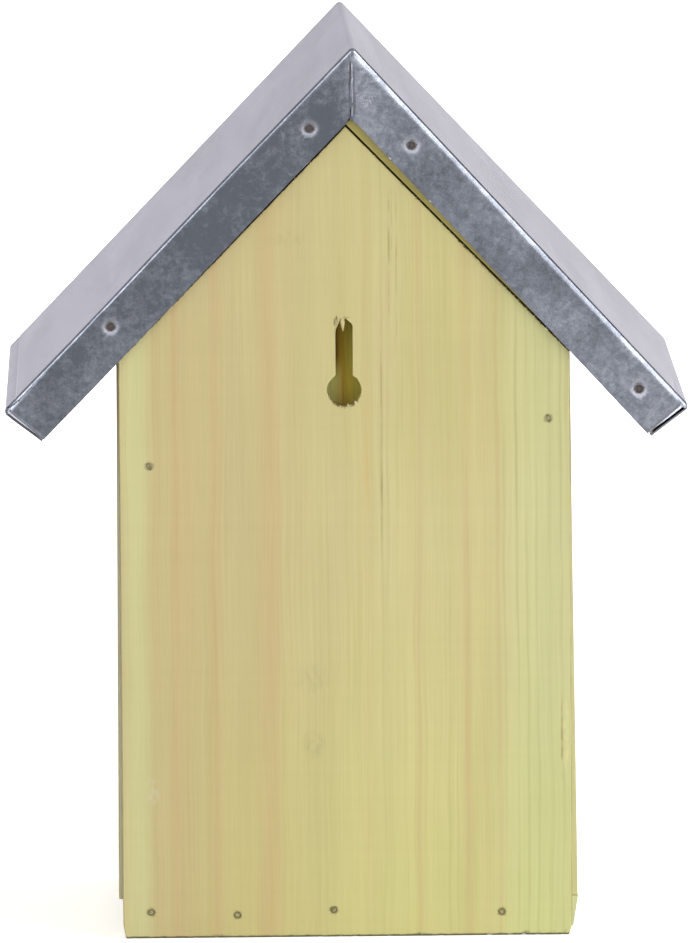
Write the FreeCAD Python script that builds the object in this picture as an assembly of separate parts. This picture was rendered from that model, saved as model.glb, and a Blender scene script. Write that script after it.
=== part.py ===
import FreeCAD, Part
import math
import os

# Ladybird house: a small gabled box of softwood boards, nailed together, under a roof of two
# boards capped with one folded zinc sheet. A keyhole slot in the back board hangs it on a screw.
#
# Frame: the front faces -Y, the back faces +Y, X runs to the right seen from the front, Z is up.
# The origin is on the resting face, under the middle of the roof. Sizes are in millimetres and
# degrees. "Right" is +X and "left" is -X.

# Walls
house_width = 103.8
house_depth = 86.0
gable_apex_height = 188.2
gable_board_thickness = 11.0
side_board_thickness = 11.0
right_side_proud_at_foot = 1.0
right_side_proud_at_eave = 0.5
left_side_proud_at_foot = 1.7
left_side_proud_at_eave = 0.45
floor_board_thickness = 7.4
floor_proud_at_left = 1.75
floor_short_at_right = 0.3

# Entrance holes in the front board: two side by side and one above them
entrance_diameter = 10.0
entrance_height = 62.0
entrance_spacing = 26.0
entrance_rise = 22.0

# Keyhole slot, a pocket in the back board with a wider track behind a lip
keyhole_entry_diameter = 8.0
keyhole_slot_width = 4.0
keyhole_entry_height = 127.2
keyhole_travel = 14.8
keyhole_lip = 3.0
keyhole_depth = 7.0
keyhole_track_width = 7.0

# Roof boards: the right one laps over the upper end of the left one and stands proud of it
roof_pitch = 45.7
ridge_offset = -0.6
gable_gap = 0.4
right_roof_board_thickness = 10.7
left_roof_board_thickness = 9.8
roof_board_depth = 115.8
roof_slope_length = 100.2
ridge_lap_proud = 3.0

# Roof sheet
sheet_thickness = 0.5
sheet_bend_radius = 0.6
sheet_ridge_clearance = 0.1
sheet_end_bend_radius = 0.5
sheet_flange_depth = 11.1
eave_flange_clearance = 0.3
right_eave_over_bend = 4.4
left_eave_over_bend = 5.5
ridge_seam_gap = 0.5
corner_gap = 0.2
open_corner_gap = 0.6

# Nails
wall_nail_length = 25.0
roof_nail_length = 16.0
sheet_nail_length = 18.0
nail_shank_diameter = 1.2
nail_head_diameter = 2.0
nail_head_thickness = 0.4
nail_tip_length = 2.0
nail_sink = 0.3
dimple_diameter = 3.8

floor_nail_offset = 6.0
roof_nail_offset = 20.0
ridge_nail_offset = 38.0

# Places of the nails, as shares, because they were driven by eye. An upper nail has its share of
# the gable's height and of the side board's thickness from its outer face. A lower nail has its
# share of half the house's width and of the floor board's thickness. A nail in the roof sheet has
# its share of the slope's length and of the flange's depth.
back_upper_nail_shares = {+1: (0.5845, 0.675), -1: (0.6397, 0.51)}
front_upper_nail_shares = {+1: (0.616, 0.54), -1: (0.601, 0.57)}
back_lower_nail_shares = [(0.875, 0.82), (0.491, 0.71), (0.062, 0.85), (-0.687, 0.74)]
front_lower_nail_shares = [(-0.860, 0.70), (-0.310, 0.78), (0.240, 0.68), (0.850, 0.76)]
back_sheet_nail_shares = {+1: [(0.173, 0.53), (0.735, 0.42)], -1: [(0.224, 0.50), (0.905, 0.50)]}
front_sheet_nail_shares = {+1: [(0.210, 0.48), (0.780, 0.53)], -1: [(0.190, 0.51), (0.820, 0.46)]}

# Worked out from the sizes above
half_width = house_width / 2
back_face = roof_board_depth / 2
front_face = back_face - house_depth
inner_back = back_face - gable_board_thickness
inner_front = front_face + gable_board_thickness
inner_middle = (inner_back + inner_front) / 2
pitch = math.radians(roof_pitch)
run = math.cos(pitch)
drop = math.sin(pitch)
underside_apex_height = gable_apex_height + gable_gap / run
roof_board_thickness = {+1: right_roof_board_thickness, -1: left_roof_board_thickness}
lap_end = -(left_roof_board_thickness / math.sin(2 * pitch) + ridge_lap_proud)
sheet_clearance = sheet_bend_radius
sheet_stand_off = sheet_clearance + sheet_thickness
sheet_half_depth = back_face + sheet_stand_off
over_bend = {+1: math.radians(right_eave_over_bend), -1: math.radians(left_eave_over_bend)}
side_proud = {
    +1: (right_side_proud_at_foot, right_side_proud_at_eave),
    -1: (left_side_proud_at_foot, left_side_proud_at_eave),
}
Y_AXIS = FreeCAD.Vector(0, 1, 0)
Z_AXIS = FreeCAD.Vector(0, 0, 1)


def slope_point(side, along, above, y=0.0):
    """A point given down one roof slope from the ridge, and square above its underside."""
    x = ridge_offset + side * (along * run + above * drop)
    z = underside_apex_height - along * drop + above * run
    return FreeCAD.Vector(x, y, z)


def slope_normal(side):
    """The direction square to one roof slope, pointing up and out."""
    return FreeCAD.Vector(side * drop, 0, run)


def meet(point_a, direction_a, point_b, direction_b):
    """Where two lines in the XZ plane cross."""
    determinant = direction_a.x * direction_b.z - direction_a.z * direction_b.x
    gap = point_b - point_a
    reach = (gap.x * direction_b.z - gap.z * direction_b.x) / determinant
    return point_a + direction_a * reach


def prism(points, y_start, y_end):
    """A straight-sided outline in the XZ plane, drawn out along Y."""
    outline = [FreeCAD.Vector(p.x, y_start, p.z) for p in points]
    wire = Part.makePolygon(outline + outline[:1])
    return Part.Face(wire).extrude(FreeCAD.Vector(0, y_end - y_start, 0))


def rounded_prism(corners, y_start, y_end):
    """As prism, with each corner given as a point and the radius that rounds it, or 0."""
    stops = []
    for index, (point, radius) in enumerate(corners):
        to_last = (corners[index - 1][0] - point).normalize()
        to_next = (corners[(index + 1) % len(corners)][0] - point).normalize()
        if radius == 0:
            stops.append((point, None, point))
            continue
        half_angle = to_last.getAngle(to_next) / 2
        tangent = radius / math.tan(half_angle)
        middle = (to_last + to_next).normalize()
        centre = point + middle * (radius / math.sin(half_angle))
        stops.append((point + to_last * tangent, centre - middle * radius, point + to_next * tangent))
    edges = []
    for index, (start, through, end) in enumerate(stops):
        if through is not None:
            edges.append(Part.Arc(start, through, end).toShape())
        edges.append(Part.LineSegment(end, stops[(index + 1) % len(stops)][0]).toShape())
    face = Part.Face(Part.Wire(edges))
    face.translate(FreeCAD.Vector(0, y_start, 0))
    return face.extrude(FreeCAD.Vector(0, y_end - y_start, 0))


def above_roof_underside():
    """The space over the undersides of the two roof boards, to cut boards along the slopes."""
    reach = 2 * roof_slope_length
    left = slope_point(-1, reach, 0)
    right = slope_point(+1, reach, 0)
    top = underside_apex_height + reach
    return prism(
        [
            left,
            slope_point(+1, 0, 0),
            right,
            FreeCAD.Vector(right.x, 0, top),
            FreeCAD.Vector(left.x, 0, top),
        ],
        -roof_board_depth,
        roof_board_depth,
    )


def nail(start, direction, length):
    """A flat-headed brad. The start is the middle of the head's outer face."""
    shank_length = length - nail_head_thickness - nail_tip_length
    shank_start = start + direction * nail_head_thickness
    head = Part.makeCylinder(nail_head_diameter / 2, nail_head_thickness, start, direction)
    shank = Part.makeCylinder(nail_shank_diameter / 2, shank_length, shank_start, direction)
    tip_start = shank_start + direction * shank_length
    tip = Part.makeCone(
        nail_shank_diameter / 2, nail_shank_diameter / 8, nail_tip_length, tip_start, direction
    )
    return head.fuse([shank, tip]).removeSplitter()


def sunk_nails(starts, direction, length):
    """Nails driven from a flat face until the heads are sunk, and the recesses over the heads."""
    nails = [nail(start + direction * nail_sink, direction, length) for start in starts]
    recesses = [
        Part.makeCylinder(nail_head_diameter / 2, 2 * nail_sink, start - direction * nail_sink, direction)
        for start in starts
    ]
    return nails, recesses


def side_outer_face(side, height):
    """How far out one side board's outer face is at a height: the boards lean a little."""
    at_foot, at_eave = side_proud[side]
    eave_height = gable_apex_height - half_width * math.tan(pitch)
    share = (height - floor_board_thickness) / (eave_height - floor_board_thickness)
    return half_width + at_foot + (at_eave - at_foot) * share


def side_middle(side, height):
    """The X of the middle of one side board's thickness at a height."""
    return side * (side_outer_face(side, height) - side_board_thickness / 2)


# Places and directions of each group of nails, from the boards that they are driven into
def gable_nail_starts(upper_shares, lower_shares, y):
    """Nails through a gable board into the side boards' ends and the floor board's edge."""
    starts = []
    for side, (height_share, inward_share) in upper_shares.items():
        height = height_share * gable_apex_height
        x = side * (side_outer_face(side, height) - inward_share * side_board_thickness)
        starts.append(FreeCAD.Vector(x, y, height))
    for width_share, height_share in lower_shares:
        x = width_share * half_width
        starts.append(FreeCAD.Vector(x, y, height_share * floor_board_thickness))
    return starts


def floor_nail_starts():
    """Nails up through the floor board into the feet of the side boards."""
    starts = []
    for side in (+1, -1):
        for step in (-1, +1):
            y = inner_middle + step * floor_nail_offset
            starts.append(FreeCAD.Vector(side_middle(side, floor_board_thickness), y, 0))
    return starts


def side_nail_starts(side):
    """Nails square through one roof board into the bevelled top of the side board."""
    eave_height = gable_apex_height - half_width * math.tan(pitch)
    along = (side_middle(side, eave_height) - ridge_offset) * side / run
    return [
        slope_point(side, along, roof_board_thickness[side], inner_middle + step * roof_nail_offset)
        for step in (-1, +1)
    ]


def ridge_nail_starts():
    """Nails through the lapping right roof board into the upper end of the left one."""
    along = -left_roof_board_thickness / 2
    above = right_roof_board_thickness
    return [slope_point(+1, along, above, step * ridge_nail_offset) for step in (-1, +1)]


def build_nails():
    """Every group of wooden-board nails as (nails, recesses over their heads)."""
    groups = {
        "back_board_nails": sunk_nails(
            gable_nail_starts(back_upper_nail_shares, back_lower_nail_shares, back_face),
            -Y_AXIS,
            wall_nail_length,
        ),
        "front_board_nails": sunk_nails(
            gable_nail_starts(front_upper_nail_shares, front_lower_nail_shares, front_face),
            Y_AXIS,
            wall_nail_length,
        ),
        "floor_board_nails": sunk_nails(floor_nail_starts(), Z_AXIS, wall_nail_length),
        "ridge_nails": sunk_nails(ridge_nail_starts(), -slope_normal(+1), wall_nail_length),
    }
    for side, name in ((+1, "right_roof_nails"), (-1, "left_roof_nails")):
        groups[name] = sunk_nails(side_nail_starts(side), -slope_normal(side), roof_nail_length)
    return groups


# The folded sheet's own slopes: the right one lies on its board, the left one is held up at the
# ridge by the lapping board and comes down on its own board at the eave.
def sheet_lines():
    """The inner ridge, the two inner eave corners, and the direction down each slope."""
    bend_start = sheet_bend_radius * math.tan(pitch) + sheet_ridge_clearance
    ridge = slope_point(+1, lap_end - bend_start, right_roof_board_thickness)
    board_corner = {
        side: slope_point(side, roof_slope_length, roof_board_thickness[side]) for side in (+1, -1)
    }
    down = {
        +1: FreeCAD.Vector(run, 0, -drop),
        -1: (board_corner[-1] - ridge).normalize(),
    }
    eave = {}
    for side in (+1, -1):
        lean = down[side].getAngle(FreeCAD.Vector(side * run, 0, -drop)) + over_bend[side]
        overhang = eave_flange_clearance + sheet_flange_depth * math.tan(lean)
        eave[side] = board_corner[side] + down[side] * overhang
    return ridge, eave, down


sheet_ridge, sheet_eave, sheet_down = sheet_lines()
sheet_up = {side: FreeCAD.Vector(-side * d.z, 0, side * d.x) for side, d in sheet_down.items()}


def sheet_point(side, along, above, y=0.0):
    """A point given down the sheet's inner face from the ridge, and square above that face."""
    point = sheet_ridge + sheet_down[side] * along + sheet_up[side] * above
    return FreeCAD.Vector(point.x, y, point.z)


def sheet_length(side):
    """Down the sheet's inner face, from the ridge to the eave flange."""
    return (sheet_eave[side] - sheet_ridge).Length


def eave_along(side, above, beyond=0.0):
    """Down-slope place of an eave flange's inner face, or of one beyond it: it is over-bent."""
    angle = over_bend[side]
    return sheet_length(side) + beyond / math.cos(angle) + above * math.tan(angle)


def chevron(above, beyond, below, ridge_radius, y_reach):
    """The sheet's section, offset from its inner faces, as a solid down to the flanges' edges."""
    top = meet(
        sheet_point(+1, 0, above), sheet_down[+1], sheet_point(-1, 0, above), sheet_down[-1]
    )
    bottom = meet(
        sheet_point(+1, 0, -below), sheet_down[+1], sheet_point(-1, 0, -below), sheet_down[-1]
    )
    corners = [(top, ridge_radius)]
    corners.append((sheet_point(+1, eave_along(+1, above, beyond), above), ridge_radius))
    corners.append((sheet_point(+1, eave_along(+1, -below, beyond), -below), 0))
    corners.append((bottom, 0))
    corners.append((sheet_point(-1, eave_along(-1, -below, beyond), -below), 0))
    corners.append((sheet_point(-1, eave_along(-1, above, beyond), above), ridge_radius))
    return rounded_prism(corners, -y_reach, y_reach)


def round_ends(solid, y_reach, radius):
    """Round the long edges between the slopes and the two upright ends."""
    edges = []
    for edge in solid.Edges:
        box = edge.BoundBox
        flat = box.YLength < 1e-6 and abs(abs(box.YMin) - y_reach) < 1e-6
        sloping = any(
            abs(abs(edge.tangentAt(edge.FirstParameter).dot(down)) - 1) < 1e-6
            for down in sheet_down.values()
        )
        top_side = any(
            abs((edge.CenterOfMass - sheet_ridge).dot(sheet_up[side])) < 2 * sheet_bend_radius
            for side in (+1, -1)
        )
        if flat and sloping and top_side and box.ZLength > roof_slope_length / 2:
            edges.append(edge)
    return solid.makeFillet(radius, edges)


def sheet_nail_spots(shares, side):
    """Down-slope and above-face coordinates of one side's nails in a front or back flange."""
    return [
        (slope_share * sheet_length(side), sheet_thickness - depth_share * sheet_flange_depth)
        for slope_share, depth_share in shares[side]
    ]


def dimple(centre, outward):
    """The dent that a nail pulls into a flange, down to the board behind, as a shell and a cut."""
    dent = sheet_clearance
    rim = dimple_diameter / 2
    seat = nail_head_diameter / 2
    hole = nail_shank_diameter / 2
    section = [(hole, -dent), (seat, -dent), (rim, 0), (rim, -sheet_thickness)]
    section += [(seat, -dent - sheet_thickness), (hole, -dent - sheet_thickness)]
    outline = [FreeCAD.Vector(r, outward * depth, 0) for r, depth in section]
    face = Part.Face(Part.makePolygon(outline + outline[:1]))
    shell = face.revolve(FreeCAD.Vector(0, 0, 0), Y_AXIS, 360)
    shell.translate(centre)
    depth = 4 * sheet_stand_off
    start = centre - Y_AXIS * (depth / 2)
    return shell, Part.makeCylinder(rim, depth, start, Y_AXIS)


def ridge_seam(outward):
    """The slit where the two slopes' flanges meet below the ridge fold."""
    top = sheet_point(+1, 0, 0)
    bottom = meet(
        sheet_point(+1, 0, -sheet_flange_depth),
        sheet_down[+1],
        sheet_point(-1, 0, -sheet_flange_depth),
        sheet_down[-1],
    )
    line = (bottom - top).normalize()
    across = FreeCAD.Vector(-line.z, 0, line.x) * (ridge_seam_gap / 2)
    start = top + line * sheet_stand_off
    end = bottom + line * sheet_stand_off
    y_ends = sorted((outward * back_face, outward * (sheet_half_depth + sheet_clearance)))
    return prism([start + across * 0.4, end + across, end - across, start - across * 0.4], *y_ends)


def corner_slit(side, outward, gap):
    """The open corner between an eave flange and a front or back flange."""
    points = []
    for above in (-sheet_clearance, -2 * sheet_flange_depth):
        end = eave_along(side, above)
        pair = [sheet_point(side, end - gap, above), sheet_point(side, end, above)]
        points += pair if not points else pair[::-1]
    y_ends = sorted((outward * back_face, outward * (sheet_half_depth + sheet_clearance)))
    return prism(points, *y_ends)


def build_sheet():
    """The folded zinc sheet and the brads through its front and back flanges."""
    outer_radius = sheet_bend_radius + sheet_thickness
    below = sheet_flange_depth - sheet_thickness
    outer = chevron(sheet_thickness, sheet_thickness, below, outer_radius, sheet_half_depth)
    outer = round_ends(outer, sheet_half_depth, sheet_end_bend_radius + sheet_thickness)
    inner_reach = sheet_half_depth - sheet_thickness
    inner = chevron(0, 0, 2 * sheet_flange_depth, sheet_bend_radius, inner_reach)
    inner = round_ends(inner, inner_reach, sheet_end_bend_radius)
    sheet = outer.cut(inner)
    slits = [ridge_seam(+1), ridge_seam(-1)]
    for side in (+1, -1):
        for outward in (+1, -1):
            is_open = side < 0 and outward > 0
            slits.append(corner_slit(side, outward, open_corner_gap if is_open else corner_gap))
    sheet = sheet.cut(slits)
    nails = {}
    for name, shares, outward in (
        ("back_sheet_nails", back_sheet_nail_shares, +1),
        ("front_sheet_nails", front_sheet_nail_shares, -1),
    ):
        nails[name] = []
        for side in (+1, -1):
            for along, above in sheet_nail_spots(shares, side):
                centre = sheet_point(side, along, above, outward * sheet_half_depth)
                shell, cut = dimple(centre, outward)
                sheet = sheet.cut(cut).fuse(shell)
                inward = Y_AXIS * -outward
                seat = centre + inward * (sheet_clearance - nail_head_thickness)
                nails[name].append(nail(seat, inward, sheet_nail_length))
    return sheet.removeSplitter(), nails


def gable_outline():
    """The outline that the front and back boards share."""
    shoulder = {
        side: gable_apex_height - (half_width - side * ridge_offset) * math.tan(pitch)
        for side in (+1, -1)
    }
    return [
        FreeCAD.Vector(-half_width, 0, 0),
        FreeCAD.Vector(half_width, 0, 0),
        FreeCAD.Vector(half_width, 0, shoulder[+1]),
        FreeCAD.Vector(ridge_offset, 0, gable_apex_height),
        FreeCAD.Vector(-half_width, 0, shoulder[-1]),
    ]


def slot(width, y_start, y_end):
    """A vertical round-topped slot from the keyhole's entry up to the end of its travel."""
    box = Part.makeBox(
        width,
        y_end - y_start,
        keyhole_travel,
        FreeCAD.Vector(-width / 2, y_start, keyhole_entry_height),
    )
    top = FreeCAD.Vector(0, y_start, keyhole_entry_height + keyhole_travel)
    return box.fuse(Part.makeCylinder(width / 2, y_end - y_start, top, Y_AXIS))


def build_back_board():
    """The back gable board with its keyhole pocket."""
    board = prism(gable_outline(), inner_back, back_face)
    pocket_floor = back_face - keyhole_depth
    entry_start = FreeCAD.Vector(0, pocket_floor, keyhole_entry_height)
    entry = Part.makeCylinder(keyhole_entry_diameter / 2, 2 * keyhole_depth, entry_start, Y_AXIS)
    neck = slot(keyhole_slot_width, back_face - keyhole_lip, back_face + keyhole_lip)
    track = slot(keyhole_track_width, pocket_floor, back_face - keyhole_lip)
    return board.cut([entry, neck, track])


def build_front_board():
    """The front gable board with its entrance holes."""
    board = prism(gable_outline(), front_face, inner_front)
    places = [
        (-entrance_spacing / 2, entrance_height),
        (entrance_spacing / 2, entrance_height),
        (0, entrance_height + entrance_rise),
    ]
    holes = [
        Part.makeCylinder(
            entrance_diameter / 2,
            2 * house_depth,
            FreeCAD.Vector(x, front_face - house_depth, z),
            Y_AXIS,
        )
        for x, z in places
    ]
    back_of_board = Part.makeBox(
        2 * house_width,
        2 * house_depth,
        2 * gable_apex_height,
        FreeCAD.Vector(-house_width, inner_front, -gable_apex_height / 2),
    )
    return board.cut([hole.cut(back_of_board) for hole in holes])


def build_side_board(side):
    """One side board, standing on the floor board, its top bevelled to carry the roof."""
    foot = floor_board_thickness
    top = underside_apex_height
    outer_foot = side_outer_face(side, foot)
    outer_top = side_outer_face(side, top)
    points = [
        FreeCAD.Vector(side * outer_foot, 0, foot),
        FreeCAD.Vector(side * outer_top, 0, top),
        FreeCAD.Vector(side * (outer_top - side_board_thickness), 0, top),
        FreeCAD.Vector(side * (outer_foot - side_board_thickness), 0, foot),
    ]
    return prism(points, inner_front, inner_back).cut(above_roof_underside())


def build_floor_board():
    """The floor board, between the gable boards and under the side boards."""
    length = floor_proud_at_left + house_width - floor_short_at_right
    start = FreeCAD.Vector(-half_width - floor_proud_at_left, inner_front, 0)
    return Part.makeBox(length, inner_back - inner_front, floor_board_thickness, start)


def build_roof_board(side):
    """One roof board. The right one runs past the ridge over the left one's upper end."""
    thickness = roof_board_thickness[side]
    if side > 0:
        upper = [(lap_end, 0), (lap_end, thickness)]
    else:
        upper = [(0, 0), (thickness / math.tan(2 * pitch), thickness)]
    lower = [(roof_slope_length, thickness), (roof_slope_length, 0)]
    points = [slope_point(side, along, above) for along, above in upper + lower]
    return prism(points, -roof_board_depth / 2, roof_board_depth / 2)


def build_all():
    """Every node's shape, with the nails' holes cut in the boards that they are driven through."""
    boards = {
        "back_board": build_back_board(),
        "front_board": build_front_board(),
        "left_side_board": build_side_board(-1),
        "right_side_board": build_side_board(+1),
        "floor_board": build_floor_board(),
        "left_roof_board": build_roof_board(-1),
        "right_roof_board": build_roof_board(+1),
    }
    sheet, sheet_nails = build_sheet()
    groups = build_nails()
    driven = {
        "back_board": ["back_board_nails"],
        "front_board": ["front_board_nails"],
        "left_side_board": [
            "back_board_nails",
            "front_board_nails",
            "floor_board_nails",
            "left_roof_nails",
        ],
        "right_side_board": [
            "back_board_nails",
            "front_board_nails",
            "floor_board_nails",
            "right_roof_nails",
        ],
        "floor_board": ["back_board_nails", "front_board_nails", "floor_board_nails"],
        "left_roof_board": ["left_roof_nails", "ridge_nails"],
        "right_roof_board": ["right_roof_nails", "ridge_nails"],
    }
    shapes = {}
    for name, board in boards.items():
        cutters = []
        for group in driven[name]:
            nails, recesses = groups[group]
            cutters += nails + recesses
        if name.endswith("roof_board"):
            for nails in sheet_nails.values():
                cutters += nails
        shapes[name] = board.cut(cutters)
    for name, (nails, recesses) in groups.items():
        shapes[name] = Part.makeCompound(nails)
    for name, nails in sheet_nails.items():
        shapes[name] = Part.makeCompound(nails)
    shapes["roof_sheet"] = sheet
    return shapes


os.makedirs("parts", exist_ok=True)
for node_name, node_shape in build_all().items():
    node_shape.exportStep("parts/" + node_name + ".step")
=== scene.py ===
"""Ladybird house: surfaces, floor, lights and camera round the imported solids.

Metres, +Z up. The back board, which the photograph shows, faces +Y, and its right side is -X.
"""
import math
import random

import bmesh
import bpy
from mathutils import Matrix, Vector, noise


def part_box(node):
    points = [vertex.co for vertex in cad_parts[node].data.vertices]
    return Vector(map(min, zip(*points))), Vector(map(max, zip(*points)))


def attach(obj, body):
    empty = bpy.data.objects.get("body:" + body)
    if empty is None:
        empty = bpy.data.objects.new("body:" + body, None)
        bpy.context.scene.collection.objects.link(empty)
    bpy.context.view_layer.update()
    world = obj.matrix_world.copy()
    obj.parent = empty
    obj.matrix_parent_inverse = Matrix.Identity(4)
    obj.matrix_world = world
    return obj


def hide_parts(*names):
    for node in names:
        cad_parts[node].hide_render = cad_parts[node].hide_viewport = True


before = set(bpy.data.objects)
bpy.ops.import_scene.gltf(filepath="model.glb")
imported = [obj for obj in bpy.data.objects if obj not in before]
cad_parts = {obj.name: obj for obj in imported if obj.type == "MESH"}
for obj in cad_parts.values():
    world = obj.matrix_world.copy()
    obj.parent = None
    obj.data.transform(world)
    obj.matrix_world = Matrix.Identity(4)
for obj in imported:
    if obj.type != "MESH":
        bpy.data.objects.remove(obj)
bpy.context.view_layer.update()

MM = 0.001
X, Y, Z = Vector((1, 0, 0)), Vector((0, 1, 0)), Vector((0, 0, 1))

# Places that the frame gives, in millimetres.
back_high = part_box("back_board")[1] / MM
front_low, front_high = [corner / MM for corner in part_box("front_board")]
roof_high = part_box("roof_sheet")[1] / MM
BACK_FACE = back_high.y
FRONT_FACE = front_low.y
HALF_WIDTH = back_high.x
APEX_HEIGHT = back_high.z
ROOF_PITCH = math.radians(45.7)


def linear(value):
    """One display value from 0 to 255 as linear light."""
    value = value / 255
    return value / 12.92 if value <= 0.04045 else ((value + 0.055) / 1.055) ** 2.4


def colour(red, green, blue):
    return (linear(red), linear(green), linear(blue), 1.0)


def smooth_step(value, low, high):
    share = max(0.0, min(1.0, (value - low) / (high - low)))
    return share * share * (3 - 2 * share)


# Materials are built from node graphs.

class Graph:
    """A material with one Principled shader, and short calls for the nodes that feed it."""

    def __init__(self, name):
        self.material = bpy.data.materials.new(name)
        self.material.use_nodes = True
        self.nodes = self.material.node_tree.nodes
        self.links = self.material.node_tree.links
        self.shader = self.nodes["Principled BSDF"]

    def put(self, value, socket):
        if isinstance(value, bpy.types.NodeSocket):
            self.links.new(value, socket)
        else:
            socket.default_value = value

    def add(self, kind, **settings):
        node = self.nodes.new(kind)
        for key, value in settings.items():
            setattr(node, key, value)
        return node

    def calc(self, operation, a, b=0.0, c=0.0):
        node = self.add("ShaderNodeMath", operation=operation)
        for value, socket in zip((a, b, c), node.inputs):
            self.put(value, socket)
        return node.outputs[0]

    def times(self, a, b):
        return self.calc("MULTIPLY", a, b)

    def plus(self, a, b):
        return self.calc("ADD", a, b)

    def minus(self, a, b):
        return self.calc("SUBTRACT", a, b)

    def most(self, a, b):
        return self.calc("MAXIMUM", a, b)

    def swing(self, value, amount):
        """A value about one half, as a value about zero times an amount."""
        return self.times(self.minus(value, 0.5), amount)

    def vector(self, x, y, z):
        node = self.add("ShaderNodeCombineXYZ")
        for value, socket in zip((x, y, z), node.inputs):
            self.put(value, socket)
        return node.outputs[0]

    def along(self, vector, direction):
        node = self.add("ShaderNodeVectorMath", operation="DOT_PRODUCT")
        self.put(vector, node.inputs[0])
        node.inputs[1].default_value = direction
        return node.outputs["Value"]

    def noise(self, vector, scale=1.0, detail=2.0, roughness=0.5, distortion=0.0):
        node = self.add("ShaderNodeTexNoise")
        self.put(vector, node.inputs["Vector"])
        node.inputs["Scale"].default_value = scale
        node.inputs["Detail"].default_value = detail
        node.inputs["Roughness"].default_value = roughness
        node.inputs["Distortion"].default_value = distortion
        return node.outputs[0]

    def cells(self, vector, scale=1.0):
        """One random grey a cell, for the spangle of a zinc coat."""
        node = self.add("ShaderNodeTexVoronoi", feature="F1")
        self.put(vector, node.inputs["Vector"])
        node.inputs["Scale"].default_value = scale
        split = self.add("ShaderNodeSeparateColor")
        self.links.new(node.outputs["Color"], split.inputs[0])
        return split.outputs[0]

    def spread(self, value, low, high, to_low=0.0, to_high=1.0):
        """The range low to high drawn out smoothly over another range, clamped at its ends."""
        node = self.add("ShaderNodeMapRange", interpolation_type="SMOOTHSTEP")
        for socket, number in zip(node.inputs, (value, low, high, to_low, to_high)):
            self.put(number, socket)
        return node.outputs[0]

    def hump(self, value, centre, half_width):
        """1 at the centre, falling smoothly to 0 at half_width on both sides."""
        away = self.calc("ABSOLUTE", self.calc("SUBTRACT", value, centre))
        return self.spread(away, 0.0, half_width, 1.0, 0.0)

    def mix(self, factor, a, b, blend="MIX"):
        node = self.add("ShaderNodeMix", data_type="RGBA", blend_type=blend)
        self.put(factor, node.inputs["Factor"])
        self.put(a, node.inputs[6])
        self.put(b, node.inputs[7])
        return node.outputs[2]

    def tinted(self, tone, tint):
        return self.mix(1.0, tone, tint, "MULTIPLY")

    def scaled(self, tone, amount):
        """A tone with its three channels times one amount."""
        return self.tinted(tone, self.vector(amount, amount, amount))

    def nearest(self, point, spots):
        """How far the closest of some places is."""
        closest = 1e3
        for spot in spots:
            offset = self.add("ShaderNodeVectorMath", operation="DISTANCE")
            self.put(point, offset.inputs[0])
            offset.inputs[1].default_value = spot
            closest = self.calc("MINIMUM", closest, offset.outputs["Value"])
        return closest

    def ramp(self, value, stops):
        """Colours or greys at places from 0 to 1."""
        node = self.add("ShaderNodeValToRGB")
        self.put(value, node.inputs[0])
        elements = node.color_ramp.elements
        while len(elements) > 1:
            elements.remove(elements[-1])
        for number, (place, shade) in enumerate(stops):
            element = elements[0] if number == 0 else elements.new(place)
            element.position = place
            element.color = shade if isinstance(shade, tuple) else (shade, shade, shade, 1.0)
        return node.outputs[0]

    def bump(self, height, strength, distance):
        node = self.add("ShaderNodeBump")
        self.put(height, node.inputs["Height"])
        node.inputs["Strength"].default_value = strength
        node.inputs["Distance"].default_value = distance
        self.links.new(node.outputs["Normal"], self.shader.inputs["Normal"])

    def place(self):
        """The point on the object, in millimetres."""
        node = self.add("ShaderNodeTexCoord")
        scaled = self.add("ShaderNodeVectorMath", operation="SCALE")
        self.links.new(node.outputs["Object"], scaled.inputs[0])
        scaled.inputs["Scale"].default_value = 1 / MM
        return scaled.outputs[0]

    def facing_side(self):
        """How far the surface turns towards -X, from -1 to 1."""
        node = self.add("ShaderNodeNewGeometry")
        return self.along(node.outputs["True Normal"], -X)

    def facing(self, direction):
        """How squarely the surface faces a direction or its opposite, from 0 to 1."""
        node = self.add("ShaderNodeNewGeometry")
        return self.calc("ABSOLUTE", self.along(node.outputs["True Normal"], direction))


def profile(lines, low, high):
    """Grey stops of a ramp from low to high that sum a list of lines: (place, half width, amount)."""
    places = sorted({p for at, half, _ in lines for p in (at - half, at, at + half)} | {low, high})
    stops = []
    for p in places:
        if low <= p <= high:
            total = sum(amount * max(0.0, 1 - abs(p - at) / half) for at, half, amount in lines)
            stops.append(((p - low) / (high - low), total))
    return stops


# Wood

# Pink and orange streaks across the back board as the photo shows it: place in mm to the right of
# the middle, half width, strength.
PINK_STREAKS = [(-44.2, 1.9, 0.4), (-39.2, 1.6, 1.0), (-36.2, 2.8, 0.3), (-30.2, 2.0, 0.8),
                (-17.6, 3.6, 0.95), (4.8, 1.6, 0.25), (16.8, 1.5, 0.6), (28.0, 1.7, 0.7), (32.0, 2.4, 0.3),
                (35.0, 1.0, 0.55)]
# Dark late-wood lines, denser towards the edge on the photo's right.
LATE_WOOD = [(8.5, 0.25, 0.8), (13.0, 0.3, 0.25), (23.6, 0.3, 0.3), (36.3, 0.35, 0.5), (39.4, 0.3, 0.7),
             (41.6, 0.4, 0.45), (43.6, 0.3, 0.75), (46.6, 0.4, 0.5), (49.3, 0.3, 1.0)]
OLIVE = colour(202, 187, 135)
STRAW = colour(209, 199, 143)
GREENISH = colour(208, 205, 150)
LOW_YELLOW = (1.0, 1.045, 0.93, 1.0)
PINK = colour(201, 172, 125)
LATE = colour(165, 152, 96)
END_GRAIN = colour(176, 158, 104)
STAIN_AND_EDGE_SHADE = colour(98, 88, 62)
TORN = colour(92, 78, 28)
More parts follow.
